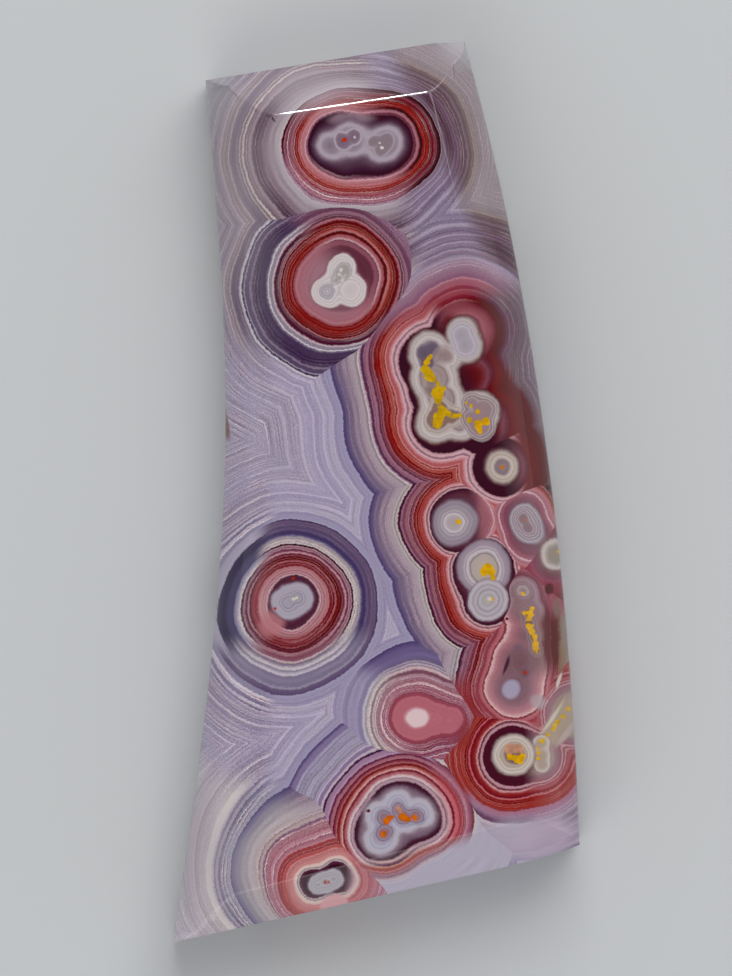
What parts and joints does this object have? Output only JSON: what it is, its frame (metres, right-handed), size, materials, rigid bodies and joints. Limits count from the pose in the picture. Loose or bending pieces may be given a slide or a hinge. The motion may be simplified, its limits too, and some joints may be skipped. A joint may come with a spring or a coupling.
{
  "type": "coyamito agate freeform cabochon",
  "caption": "Long freeform slab of banded agate with concentric eyes, flat back, gently bulging polished face, rounded side shoulders and flat bevels at both ends.",
  "frame": {"origin": "middle of the flat back, at the middle of the stone's length and width", "axes": "+Z out of the polished face, +Y along the stone towards its narrow end, +X to the right when the face is seen with the narrow end up"},
  "size_m": [0.0184, 0.0406, 0.006],
  "materials": {
    "polished_agate": "high polish, finely banded lavender, cream, rose and red with yellow centres"
  },
  "bodies": {
    "root": {"agate": "polished_agate"}
  },
  "joints": []
}
